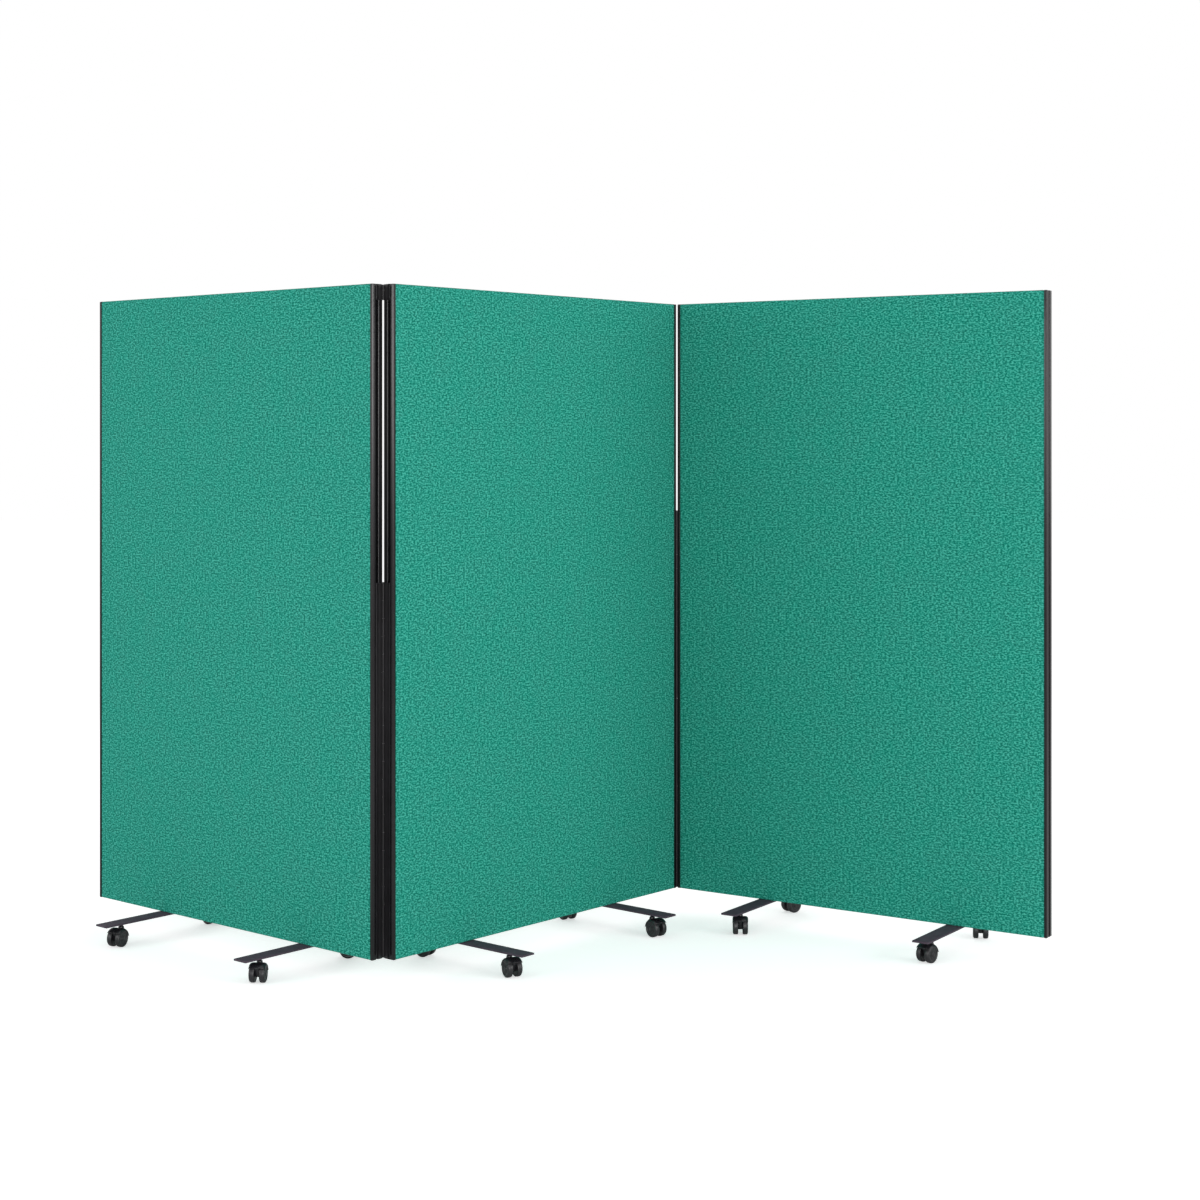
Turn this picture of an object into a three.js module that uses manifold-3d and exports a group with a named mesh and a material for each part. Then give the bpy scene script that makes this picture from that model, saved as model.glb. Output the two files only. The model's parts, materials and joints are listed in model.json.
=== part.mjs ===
// A three-panel folding privacy screen on wheels, in millimetres, +Z up.
// The middle panel carries the left and the right panel on knuckle hinges, and each panel stands
// on two flat cross feet with a swivelling twin-wheel castor under each end.
// X runs along the screen's length, -Y is the side that the left fold points to, and the floor is Z = 0.
import * as THREE from "three";
import { mergeVertices } from "three/addons/utils/BufferGeometryUtils.js";
import Module from "manifold-3d";

const wasm = await Module();
wasm.setup();

// Panel sizes
const panelWidth = 1200;
const panelHeight = 1800;
const panelThickness = 38;
const coverThickness = 2;
const coverEdgeRadius = 4;
const frameBarWidth = 45;
const seatGap = 0.3;
const cutOverrun = 5;

// Edge trim section
const trimFace = 6;
const trimSpigot = 3.5;
const trimShoulderRadius = 5;
const grooveWidth = 8;
const grooveDepth = 4.5;
const grooveLipRadius = 1.5;
const undercutSide = 2;
const undercutDepth = 2.2;
const tongueThickness = 8;
const tongueLength = 10;

// Foot bar and castor stem
const footLength = 484;
const footWidth = 50;
const footThickness = 5;
const footSpacing = 610;
const footCornerRadius = 2;
const footScrewSpacing = 26;
const footScrewRadius = 2.6;
const stemInset = 70;
const stemCollarRadius = 5.5;
const stemCollarHeight = 8.5;
const stemShankRadius = 3.5;
const stemShankLength = 9;

// Castor
const wheelRadius = 25;
const wheelWidth = 16;
const wheelSides = 14;
const wheelEdgeRound = 3;
const hubRadius = 8;
const faceRecess = 1.5;
const rimWidth = 5;
const axleRadius = 3;
const axleBossWall = 7;
const webThickness = 12;
const wheelSideGap = 0.5;
const hoodGap = 1.5;
const hoodWall = 2.2;
const trail = 18;
const neckRadius = 8;
const neckFlare = 3;
const neckHeight = 7.5;
const hoodBackAngle = 40;
const hoodFrontAngle = 174;
const bossFrontAngle = 215;
const bossBackAngle = 325;

// How far each panel's pair of feet stands off the panel's middle, towards its right end
const footShifts = { left_panel: 19, middle_panel: -9, right_panel: 15 };

// Hinges. The left fold has a short one at its top and a long one up from its bottom,
// and the right fold has two long ones, one over the other, up from its bottom.
const foldGap = 4;
const leafHeights = { left: { top: 40, bottom: 1000 }, right: { top: 578, bottom: 578 } };
const leafSpacing = 4;
const knuckleCount = 3;
const knuckleSides = 12;
const leafThickness = 1.4;
const leafDrop = 3;
const pinRadius = 1.6;
const pinHeadOverhang = 1.2;
const pinHeadHeight = 1.4;

// How the screen stands: the middle panel's turn and the two folds' inside angles, in degrees
const middleTurn = 49.2;
const leftFoldAngle = 90;
const rightFoldAngle = 97.3;

// Which way each castor trails at rest, in degrees seen from above, for the front and the rear castor
const castorHeadings = {
  left_panel: { left: { front: 248, rear: 140 }, right: { front: 266, rear: 188 } },
  middle_panel: { left: { front: 297, rear: 330 }, right: { front: 310, rear: 300 } },
  right_panel: { left: { front: 268, rear: 215 }, right: { front: 226, rear: 262 } },
};

// Sizes and places that follow from the ones above
const halfThickness = panelThickness / 2;
const halfGap = foldGap / 2;
const trimDepth = trimFace + trimSpigot;
const coreThickness = panelThickness - 2 * (coverThickness + seatGap);
const axleHeight = wheelRadius * Math.cos(Math.PI / wheelSides);
const wheelInner = webThickness / 2 + wheelSideGap;
const wheelOuter = wheelInner + wheelWidth;
const wellRadius = wheelRadius + hoodGap;
const hoodRadius = wellRadius + hoodWall;
const neckBase = axleHeight + Math.sqrt(hoodRadius ** 2 - trail ** 2);
const neckTop = neckBase + neckHeight;
const footUnderside = neckTop + seatGap + stemCollarHeight;
const panelBottom = footUnderside + footThickness + seatGap;
const panelTop = panelBottom + panelHeight;
const stemReach = footLength / 2 - stemInset;
const bearingHeight = stemShankLength + seatGap;
const shoulderDistance = Math.hypot(halfGap + trimShoulderRadius, trimShoulderRadius) - trimShoulderRadius;
const knuckleRadius = shoulderDistance - seatGap;

const roundSides = 16;
const smallSides = 8;
const hoodSteps = 8;
const arcSteps = 2;

// One material for each finish
const finishes = {
  fabric: new THREE.MeshStandardMaterial({ color: 0x2d8a7b, roughness: 0.95, metalness: 0 }),
  trim: new THREE.MeshStandardMaterial({ color: 0x1b1c1f, roughness: 0.38, metalness: 0.6 }),
  timber: new THREE.MeshStandardMaterial({ color: 0xc9a673, roughness: 0.8, metalness: 0 }),
  honeycomb: new THREE.MeshStandardMaterial({ color: 0xb08a5b, roughness: 0.9, metalness: 0 }),
  steel: new THREE.MeshStandardMaterial({ color: 0x26262b, roughness: 0.5, metalness: 0.4 }),
  hinge: new THREE.MeshStandardMaterial({ color: 0x161618, roughness: 0.4, metalness: 0.5 }),
  pin: new THREE.MeshStandardMaterial({ color: 0x8b8d90, roughness: 0.3, metalness: 0.9 }),
  nylon: new THREE.MeshStandardMaterial({ color: 0x1d1d20, roughness: 0.45, metalness: 0 }),
  wheel: new THREE.MeshStandardMaterial({ color: 0x2a2a2d, roughness: 0.55, metalness: 0 }),
};

const degrees = THREE.MathUtils.degToRad;

// A closed geometry as a solid that can be joined and cut.
function solid(geometry) {
  const bare = geometry.clone();
  bare.deleteAttribute("normal");
  bare.deleteAttribute("uv");
  const merged = mergeVertices(bare);
  const vertProperties = new Float32Array(merged.attributes.position.array);
  const triVerts = new Uint32Array(merged.index.array);
  return new wasm.Manifold(new wasm.Mesh({ numProp: 3, vertProperties, triVerts }));
}

// A solid back as a geometry with flat faces.
function geometryOf(body) {
  const mesh = body.getMesh();
  const geometry = new THREE.BufferGeometry();
  geometry.setAttribute("position", new THREE.BufferAttribute(new Float32Array(mesh.vertProperties), 3));
  geometry.setIndex(new THREE.BufferAttribute(new Uint32Array(mesh.triVerts), 1));
  const flat = geometry.toNonIndexed();
  flat.computeVertexNormals();
  return flat;
}

// A box given by its lowest and highest corner.
function block(low, high) {
  const geometry = new THREE.BoxGeometry(high[0] - low[0], high[1] - low[1], high[2] - low[2]);
  const middle = low.map((value, axis) => (value + high[axis]) / 2);
  return geometry.translate(middle[0], middle[1], middle[2]);
}

// An upright cylinder between two heights.
function upright(radius, bottom, top, sides = roundSides) {
  const geometry = new THREE.CylinderGeometry(radius, radius, top - bottom, sides);
  return geometry.rotateX(Math.PI / 2).translate(0, 0, (bottom + top) / 2);
}

// A cylinder whose axis runs along Y between two places.
function across(radius, from, to, sides = roundSides) {
  const geometry = new THREE.CylinderGeometry(radius, radius, to - from, sides);
  return geometry.translate(0, (from + to) / 2, 0);
}

// An outline drawn in X and Y, pulled up from one height to another.
function pulledUp(shape, bottom, top, steps = arcSteps) {
  const settings = { depth: top - bottom, bevelEnabled: false, curveSegments: steps };
  return new THREE.ExtrudeGeometry(shape, settings).translate(0, 0, bottom);
}

function named(name, geometry, material) {
  const mesh = new THREE.Mesh(geometry, material);
  mesh.name = name;
  return mesh;
}

// A rectangle with rounded corners, centred on the origin.
function roundedRectangle(target, width, height, radius) {
  const x = width / 2;
  const y = height / 2;
  target.moveTo(x, y - radius);
  target.absarc(x - radius, y - radius, radius, 0, Math.PI / 2);
  target.absarc(radius - x, y - radius, radius, Math.PI / 2, Math.PI);
  target.absarc(radius - x, radius - y, radius, Math.PI, 1.5 * Math.PI);
  target.absarc(x - radius, radius - y, radius, 1.5 * Math.PI, 2 * Math.PI);
  target.closePath();
  return target;
}

// The trim's section: X = 0 is the panel's end plane and the panel lies towards -X.
// Two rounded shoulders stand beside an undercut groove, the lips cover the fabric's ends,
// and a spigot and a tongue run back into the cover and the timber frame.
function trimSection() {
  const lip = halfThickness;
  const spigot = halfThickness - coverThickness - seatGap;
  const mouth = grooveWidth / 2;
  const undercut = mouth + undercutSide;
  const floor = -(grooveDepth + undercutDepth);
  const tongue = tongueThickness / 2;
  const back = -(trimDepth + tongueLength);
  const shape = new THREE.Shape();
  shape.moveTo(back, -tongue);
  shape.lineTo(-trimDepth, -tongue);
  shape.lineTo(-trimDepth, -spigot);
  shape.lineTo(-trimFace, -spigot);
  shape.lineTo(-trimFace, -lip);
  shape.absarc(-trimShoulderRadius, trimShoulderRadius - lip, trimShoulderRadius, -Math.PI / 2, 0);
  shape.absarc(-grooveLipRadius, -mouth - grooveLipRadius, grooveLipRadius, 0, Math.PI / 2);
  shape.lineTo(-grooveDepth, -mouth);
  shape.lineTo(-grooveDepth, -undercut);
  shape.lineTo(floor, -undercut);
  shape.lineTo(floor, undercut);
  shape.lineTo(-grooveDepth, undercut);
  shape.lineTo(-grooveDepth, mouth);
  shape.absarc(-grooveLipRadius, mouth + grooveLipRadius, grooveLipRadius, -Math.PI / 2, 0);
  shape.absarc(-trimShoulderRadius, lip - trimShoulderRadius, trimShoulderRadius, 0, Math.PI / 2);
  shape.lineTo(-trimFace, lip);
  shape.lineTo(-trimFace, spigot);
  shape.lineTo(-trimDepth, spigot);
  shape.lineTo(-trimDepth, tongue);
  shape.lineTo(back, tongue);
  shape.closePath();
  return shape;
}

// The trim over the panel's full height, with its spigot and tongue cut short below the cover's corners.
function trimGeometry() {
  const inset = coverEdgeRadius + seatGap;
  const back = -(trimDepth + tongueLength + cutOverrun);
  let body = solid(pulledUp(trimSection(), panelBottom, panelTop));
  const ends = [
    [panelBottom - cutOverrun, panelBottom + inset],
    [panelTop - inset, panelTop + cutOverrun],
  ];
  for (const [low, high] of ends) {
    const waste = block([back, -panelThickness, low], [-trimFace, panelThickness, high]);
    body = body.subtract(solid(waste));
  }
  return geometryOf(body);
}

// The fabric cover: a sleeve round both faces, the top and the bottom, open at the panel's ends.
function coverGeometry() {
  const length = panelWidth - 2 * (trimFace + seatGap);
  const outer = roundedRectangle(new THREE.Shape(), panelThickness, panelHeight, coverEdgeRadius);
  const innerThickness = panelThickness - 2 * coverThickness;
  const innerHeight = panelHeight - 2 * coverThickness;
  const innerRadius = coverEdgeRadius - coverThickness;
  outer.holes.push(roundedRectangle(new THREE.Path(), innerThickness, innerHeight, innerRadius));
  const sleeve = pulledUp(outer, -length / 2, length / 2);
  sleeve.rotateX(Math.PI / 2);
  sleeve.rotateZ(Math.PI / 2);
  return sleeve.translate(0, 0, (panelBottom + panelTop) / 2);
}

// The glued timber frame: two stiles and two rails in one ring, each stile grooved for a trim's tongue.
function frameGeometry() {
  const x = panelWidth / 2 - trimDepth - seatGap;
  const y = coreThickness / 2;
  const inset = coverThickness + seatGap;
  const bottom = panelBottom + inset;
  const top = panelTop - inset;
  const corner = coverEdgeRadius - coverThickness;
  const outline = roundedRectangle(new THREE.Shape(), coreThickness, top - bottom, corner);
  const slab = pulledUp(outline, -x, x).rotateX(Math.PI / 2).rotateZ(Math.PI / 2);
  slab.translate(0, 0, (top + bottom) / 2);
  const window = block(
    [frameBarWidth - x, -y - cutOverrun, bottom + frameBarWidth],
    [x - frameBarWidth, y + cutOverrun, top - frameBarWidth],
  );
  const slot = tongueThickness / 2 + seatGap;
  const slotDepth = tongueLength + seatGap;
  const groove = block(
    [x - slotDepth, -slot, bottom - cutOverrun],
    [x + cutOverrun, slot, top + cutOverrun],
  );
  const otherGroove = groove.clone().rotateZ(Math.PI);
  return geometryOf(solid(slab).subtract(solid(window)).subtract(solid(groove)).subtract(solid(otherGroove)));
}

// The honeycomb board that fills the timber frame.
function coreGeometry() {
  const border = frameBarWidth + seatGap;
  const x = panelWidth / 2 - trimDepth - seatGap - border;
  const y = coreThickness / 2;
  const inset = coverThickness + seatGap + border;
  return block([-x, -y, panelBottom + inset], [x, y, panelTop - inset]);
}

// A flat cross foot with a collared castor stem under each end and two screw holes under the panel.
function footGeometry() {
  const outline = roundedRectangle(new THREE.Shape(), footWidth, footLength, footCornerRadius);
  let body = solid(pulledUp(outline, footUnderside, footUnderside + footThickness));
  const collarBottom = footUnderside - stemCollarHeight;
  const shankBottom = collarBottom - stemShankLength;
  const rooted = footUnderside + footThickness / 2;
  for (const side of [-1, 1]) {
    const collar = upright(stemCollarRadius, collarBottom, rooted, smallSides);
    const shank = upright(stemShankRadius, shankBottom, rooted, smallSides);
    body = body.add(solid(collar.translate(0, side * stemReach, 0)));
    body = body.add(solid(shank.translate(0, side * stemReach, 0)));
    const hole = upright(footScrewRadius, footUnderside - cutOverrun, panelBottom + cutOverrun, smallSides);
    body = body.subtract(solid(hole.translate((side * footScrewSpacing) / 2, 0, 0)));
  }
  return geometryOf(body);
}

// A castor's twin wheels on their axle, one turned form: a raised rim and hub on each outer face.
// The axle runs along Y through the origin, and one flat of the tread lies square to -Z.
function wheelPairGeometry() {
  const rimInner = wheelRadius - wheelEdgeRound - rimWidth;
  const side = [
    [0, wheelOuter],
    [hubRadius, wheelOuter],
    [hubRadius + faceRecess, wheelOuter - faceRecess],
    [rimInner, wheelOuter - faceRecess],
    [wheelRadius - wheelEdgeRound, wheelOuter],
    [wheelRadius, wheelOuter - wheelEdgeRound],
    [wheelRadius, wheelInner],
    [axleRadius, wheelInner],
  ];
  const near = side.map(([radius, place]) => new THREE.Vector2(radius, -place));
  const far = side.map(([radius, place]) => new THREE.Vector2(radius, place)).reverse();
  const turned = new THREE.LatheGeometry([...near, ...far], wheelSides);
  return turned.rotateY(Math.PI / wheelSides);
}

// A castor's housing: a central web on the axle, a curved hood over both wheels and a flared neck.
// The stem's axis is X = 0, Y = 0, and the axle lies a trail's length towards +X.
function housingGeometry() {
  const bossRadius = axleRadius + axleBossWall;
  const outline = new THREE.Shape();
  outline.absarc(0, 0, hoodRadius, degrees(hoodBackAngle), degrees(hoodFrontAngle));
  outline.absarc(0, 0, bossRadius, degrees(bossFrontAngle), degrees(bossBackAngle));
  outline.closePath();
  const settings = { depth: 2 * wheelOuter, bevelEnabled: false, curveSegments: hoodSteps };
  const hood = new THREE.ExtrudeGeometry(outline, settings);
  hood.translate(0, 0, -wheelOuter).rotateX(Math.PI / 2).translate(trail, 0, axleHeight);
  const neck = new THREE.LatheGeometry(
    [
      new THREE.Vector2(0, axleHeight),
      new THREE.Vector2(neckRadius, axleHeight),
      new THREE.Vector2(neckRadius + neckFlare, neckBase - neckFlare),
      new THREE.Vector2(neckRadius, neckBase + neckFlare / 2),
      new THREE.Vector2(neckRadius, neckTop),
      new THREE.Vector2(0, neckTop),
    ],
    smallSides,
  ).rotateX(Math.PI / 2);
  let body = solid(hood).add(solid(neck));
  for (const side of [-1, 1]) {
    const near = side * (webThickness / 2);
    const far = side * (wheelOuter + cutOverrun);
    const well = across(wellRadius, Math.min(near, far), Math.max(near, far));
    body = body.subtract(solid(well.translate(trail, 0, axleHeight)));
  }
  const axleHole = across(axleRadius + seatGap, -webThickness, webThickness, smallSides);
  body = body.subtract(solid(axleHole.translate(trail, 0, axleHeight)));
  const bore = upright(stemShankRadius + seatGap, neckTop - bearingHeight, neckTop + cutOverrun, smallSides);
  return geometryOf(body.subtract(solid(bore)));
}

// A hinge leaf. The pin's axis is the Z axis, the leaf's own panel ends at X = +halfGap with its face
// on Y = 0 and its body towards -Y. The plate lies on one shoulder, its tongue fills the groove's mouth,
// and it carries every other knuckle, either from the ends inwards or the ones between.
function leafGeometry(height, carriesEnds) {
  const plateOuter = halfGap - seatGap;
  const plateInner = plateOuter - leafThickness;
  const tongueHalf = grooveWidth / 2 - seatGap;
  const grooveLine = -halfThickness;
  const half = height / 2;
  const knuckleHeight = (height - (knuckleCount - 1) * seatGap) / knuckleCount;
  const plan = new THREE.Shape();
  plan.moveTo(plateInner, 0);
  plan.lineTo(plateInner, grooveLine - tongueHalf);
  plan.lineTo(halfGap + grooveDepth - seatGap, grooveLine - tongueHalf);
  plan.lineTo(halfGap + grooveDepth - seatGap, grooveLine + tongueHalf);
  plan.lineTo(plateOuter, grooveLine + tongueHalf);
  plan.lineTo(plateOuter, 0);
  plan.closePath();
  const knuckles = Array.from({ length: knuckleCount }, (_, place) => {
    const bottom = place * (knuckleHeight + seatGap) - half;
    return { place, bottom, top: bottom + knuckleHeight };
  });
  const isOwn = ({ place }) => (place % 2 === 0) === carriesEnds;
  let body = solid(pulledUp(plan, -half, half));
  for (const knuckle of knuckles.filter((each) => !isOwn(each))) {
    const low = knuckle.bottom - seatGap;
    const room = upright(knuckleRadius + seatGap, low, knuckle.top + seatGap, knuckleSides);
    body = body.subtract(solid(room));
  }
  for (const knuckle of knuckles.filter(isOwn)) {
    body = body.add(solid(upright(knuckleRadius, knuckle.bottom, knuckle.top, knuckleSides)));
  }
  const bore = upright(pinRadius + seatGap, -half - cutOverrun, half + cutOverrun, smallSides);
  return geometryOf(body.subtract(solid(bore)));
}

// The hinge pin, with a low head on top of the upper knuckle.
function pinGeometry(height) {
  const half = height / 2;
  const headRadius = pinRadius + pinHeadOverhang;
  const headBottom = half + seatGap;
  return new THREE.LatheGeometry(
    [
      new THREE.Vector2(0, -half),
      new THREE.Vector2(pinRadius, -half),
      new THREE.Vector2(pinRadius, headBottom),
      new THREE.Vector2(headRadius, headBottom),
      new THREE.Vector2(headRadius, headBottom + pinHeadHeight / 2),
      new THREE.Vector2(pinRadius, headBottom + pinHeadHeight),
      new THREE.Vector2(0, headBottom + pinHeadHeight),
    ],
    smallSides,
  ).rotateX(Math.PI / 2);
}

const shapes = {
  trim: trimGeometry(),
  cover: coverGeometry(),
  frame: frameGeometry(),
  core: coreGeometry(),
  foot: footGeometry(),
  wheels: wheelPairGeometry(),
  housing: housingGeometry(),
};

// A castor in a group on its stem's axis, with its wheels on their axle.
function castor(name, heading) {
  const group = new THREE.Group();
  group.rotation.z = heading;
  const wheels = named(`${name}_wheels`, shapes.wheels, finishes.wheel);
  wheels.position.set(trail, 0, axleHeight);
  group.add(named(`${name}_housing`, shapes.housing, finishes.nylon), wheels);
  return group;
}

// A foot with its two castors; the castors' headings are given for the screen as it stands.
function foot(panelName, side, panelTurn) {
  const group = new THREE.Group();
  group.add(named(`${panelName}_foot_${side}`, shapes.foot, finishes.steel));
  for (const [end, direction] of [["front", -1], ["rear", 1]]) {
    const heading = degrees(castorHeadings[panelName][side][end]) - panelTurn;
    const placed = castor(`${panelName}_castor_${side}_${end}`, heading);
    placed.position.y = direction * stemReach;
    group.add(placed);
  }
  return group;
}

// One whole panel, centred on its width and thickness.
function panel(name, turn) {
  const group = new THREE.Group();
  group.add(named(`${name}_frame`, shapes.frame, finishes.timber));
  group.add(named(`${name}_core`, shapes.core, finishes.honeycomb));
  group.add(named(`${name}_cover`, shapes.cover, finishes.fabric));
  for (const [side, direction] of [["left", -1], ["right", 1]]) {
    const trim = named(`${name}_trim_${side}`, shapes.trim, finishes.trim);
    trim.position.x = direction * (panelWidth / 2);
    trim.rotation.z = direction < 0 ? Math.PI : 0;
    const standing = foot(name, side, turn);
    standing.position.x = footShifts[name] + (direction * footSpacing) / 2;
    group.add(trim, standing);
  }
  return group;
}

// The heights at which the hinges of each fold begin.
const lowestLeaf = panelBottom + leafDrop;
const leafBottoms = {
  left: { top: panelTop - leafDrop - leafHeights.left.top, bottom: lowestLeaf },
  right: { top: lowestLeaf + leafHeights.right.bottom + leafSpacing, bottom: lowestLeaf },
};

// A fold: the middle panel's leaves and pins, and a turned group with the outer panel and its leaves.
// The left fold's pins lie on the rear faces' plane, the right fold's on the front faces' plane.
function fold(side, inside, middleAngle) {
  const direction = side === "left" ? -1 : 1;
  const group = new THREE.Group();
  group.position.set(direction * (panelWidth / 2 + halfGap), -direction * halfThickness, 0);
  const turn = -(Math.PI - degrees(inside));
  const swing = new THREE.Group();
  swing.rotation.z = turn;
  for (const [level, height] of Object.entries(leafHeights[side])) {
    const middle = leafBottoms[side][level] + height / 2;
    const innerLeaf = leafGeometry(height, true);
    const inner = named(`${side}_hinge_${level}_inner_leaf`, innerLeaf, finishes.hinge);
    inner.rotation.z = side === "left" ? 0 : Math.PI;
    inner.position.z = middle;
    const outerLeaf = leafGeometry(height, false);
    const outer = named(`${side}_hinge_${level}_outer_leaf`, outerLeaf, finishes.hinge);
    outer.rotation.x = side === "left" ? 0 : Math.PI;
    outer.rotation.y = side === "left" ? Math.PI : 0;
    outer.position.z = middle;
    const pin = named(`${side}_hinge_${level}_pin`, pinGeometry(height), finishes.pin);
    pin.position.z = middle;
    group.add(inner, pin);
    swing.add(outer);
  }
  const outerPanel = panel(`${side}_panel`, middleAngle + turn);
  outerPanel.position.set(direction * (panelWidth / 2 + halfGap), direction * halfThickness, 0);
  swing.add(outerPanel);
  group.add(swing);
  return group;
}

const screen = new THREE.Group();
const panels = new THREE.Group();
const middleAngle = degrees(middleTurn);
panels.rotation.z = middleAngle;
panels.add(panel("middle_panel", middleAngle));
panels.add(fold("left", leftFoldAngle, middleAngle));
panels.add(fold("right", rightFoldAngle, middleAngle));
screen.add(panels);

// The origin is the middle of the screen's outer box, on the floor.
const box = new THREE.Box3().setFromObject(screen, true);
const middle = box.getCenter(new THREE.Vector3());
panels.position.set(-middle.x, -middle.y, -box.min.z);

export default screen;
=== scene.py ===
"""A folding ward screen on castors: the looks of its covers, trims, feet, castors and hinges.

Shapes are drawn in millimetres in each piece's own frame and placed in metres in the part's frame.
"""
import json
import logging
import math
from dataclasses import dataclass, field
from enum import Enum
from typing import ClassVar

import bpy
import numpy as np
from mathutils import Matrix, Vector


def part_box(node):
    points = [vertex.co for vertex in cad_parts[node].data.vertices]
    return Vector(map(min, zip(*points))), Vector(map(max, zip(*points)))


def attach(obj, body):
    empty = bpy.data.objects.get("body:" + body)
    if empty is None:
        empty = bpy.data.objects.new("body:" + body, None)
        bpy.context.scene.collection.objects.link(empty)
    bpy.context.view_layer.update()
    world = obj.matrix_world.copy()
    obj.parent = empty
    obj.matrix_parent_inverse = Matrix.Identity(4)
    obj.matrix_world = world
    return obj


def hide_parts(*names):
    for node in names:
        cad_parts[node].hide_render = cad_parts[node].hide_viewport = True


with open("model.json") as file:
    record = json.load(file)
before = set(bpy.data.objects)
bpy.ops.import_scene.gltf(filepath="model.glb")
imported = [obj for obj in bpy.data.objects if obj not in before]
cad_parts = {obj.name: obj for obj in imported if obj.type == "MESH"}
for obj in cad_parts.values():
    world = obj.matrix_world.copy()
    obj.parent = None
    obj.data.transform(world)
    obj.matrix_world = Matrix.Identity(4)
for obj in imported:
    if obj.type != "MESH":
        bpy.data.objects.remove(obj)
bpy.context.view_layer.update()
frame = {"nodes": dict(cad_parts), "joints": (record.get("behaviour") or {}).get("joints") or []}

log = logging.getLogger("ward_screen")
MM = 0.001
FLOAT = np.float64


class NodeWord(Enum):
    """A choice whose word in the names of the nodes is its own name in small letters."""

    @property
    def word(self) -> str:
        """The choice's word in the names of the nodes."""
        return self.name.lower()


class Side(NodeWord):
    """The left or the right end of a panel, with its direction along the panel."""

    LEFT = -1
    RIGHT = 1


class End(NodeWord):
    """The front or the rear end of a cross foot."""

    FRONT = -1
    REAR = 1


# The left fold has a short hinge at its top and a long one lower down, and the right fold two long ones
HINGES = ((Side.LEFT, "top"), (Side.LEFT, "bottom"), (Side.RIGHT, "top"), (Side.RIGHT, "bottom"))


# Placing


@dataclass(frozen=True)
class Place:
    """A piece's frame: its origin in metres and its three axes as the columns of a turn."""

    origin: np.ndarray
    turn: np.ndarray

    def carry(self, points: np.ndarray) -> np.ndarray:
        """Carries points in millimetres of the piece's frame to metres in the part's frame.

        Args:
            points: an array whose last axis holds x, y and z.

        Returns:
            The placed points, in the same layout.
        """
        return points @ self.turn.T * MM + self.origin


def about_z(angle: float) -> np.ndarray:
    """The turn by an angle, in radians, about the vertical."""
    c, s = math.cos(angle), math.sin(angle)
    return np.array([[c, -s, 0], [s, c, 0], [0, 0, 1]], FLOAT)


HALF_TURN_X = np.diag([1.0, -1.0, -1.0])
HALF_TURN_Y = np.diag([-1.0, 1.0, -1.0])
HALF_TURN_Z = np.diag([-1.0, -1.0, 1.0])


def joint_point(name: str) -> np.ndarray:
    """The point, in metres, that the frame's joint of that name turns about."""
    joint = next(joint for joint in frame["joints"] if joint["name"] == name)
    return np.array(joint["pos_m"], FLOAT)


# Meshes


@dataclass
class Skin:
    """Points, faces and face-corner UVs of one surface or several."""

    points: np.ndarray
    faces: list
    uv: list

    def on(self, points: np.ndarray) -> "Skin":
        """The same faces and UVs on other points."""
        return Skin(points, self.faces, self.uv)

    def placed(self, place: Place) -> "Skin":
        """The same skin carried into a place."""
        return self.on(place.carry(self.points))


def joined(skins: list[Skin]) -> Skin:
    """Several skins as one.

    Args:
        skins: the skins to put together.

    Returns:
        One skin with all their points and faces.
    """
    points, faces, uv, first = [], [], [], 0
    for skin in skins:
        points.append(skin.points)
        faces.extend([tuple(index + first for index in face) for face in skin.faces])
        uv.extend(skin.uv)
        first += len(skin.points)
    return Skin(np.concatenate(points), faces, uv)


def run_length(line: np.ndarray) -> np.ndarray:
    """The length along a line of points, from its first point to each."""
    return np.concatenate([[0.0], np.cumsum(np.linalg.norm(np.diff(line, axis=0), axis=1))])


def measured_uv(grid: np.ndarray, closed: bool) -> np.ndarray:
    """UVs in the grid's own unit: u is the length round the middle section, and v along the path.

    Args:
        grid: the points, as rows x columns x 3.
        closed: whether the section closes on itself.

    Returns:
        The UVs, with one more column where the section is closed.
    """
    ring = grid[len(grid) // 2]
    if closed:
        ring = np.concatenate([ring, ring[:1]])
    v = np.concatenate([[0.0], np.cumsum(np.linalg.norm(np.diff(grid, axis=0), axis=2).max(1))])
    return np.stack(np.meshgrid(run_length(ring), v), -1)


def sheet_of(
    grid: np.ndarray, closed: bool = True, caps: bool = True, uv: np.ndarray | None = None
) -> Skin:
    """A surface from a grid of points: rows go along a path and columns round the section.

    A face joins each pair of neighbours in a row with the same pair in the next row. With the
    section turning anticlockwise as the path comes towards the eye, the faces point outwards.

    Args:
        grid: the points, as rows x columns x 3.
        closed: whether the last column joins the first.
        caps: whether the first and the last row are closed by a face.
        uv: rows x columns (one more column where closed) x 2, or None for lengths along the grid.

    Returns:
        The skin.
    """
    rows, columns = grid.shape[:2]
    across = np.arange(columns if closed else columns - 1)
    row, column = np.meshgrid(np.arange(rows - 1), across, indexing="ij")
    low, high, after = row * columns, (row + 1) * columns, (column + 1) % columns
    quads = np.stack([low + column, low + after, high + after, high + column], -1).reshape(-1, 4)
    if uv is None:
        uv = measured_uv(grid, closed)
    corners = np.stack(
        [uv[row, column], uv[row, column + 1], uv[row + 1, column + 1], uv[row + 1, column]], -2
    )
    faces = [tuple(quad) for quad in quads.tolist()]
    loops = corners.reshape(-1, 2).tolist()
    if caps:
        faces.append(tuple(range(columns))[::-1])
        faces.append(tuple(range((rows - 1) * columns, rows * columns)))
        loops.extend(grid[0, ::-1, :2].tolist())
        loops.extend(grid[-1, :, :2].tolist())
    return Skin(grid.reshape(-1, 3).astype(FLOAT), faces, loops)


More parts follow.
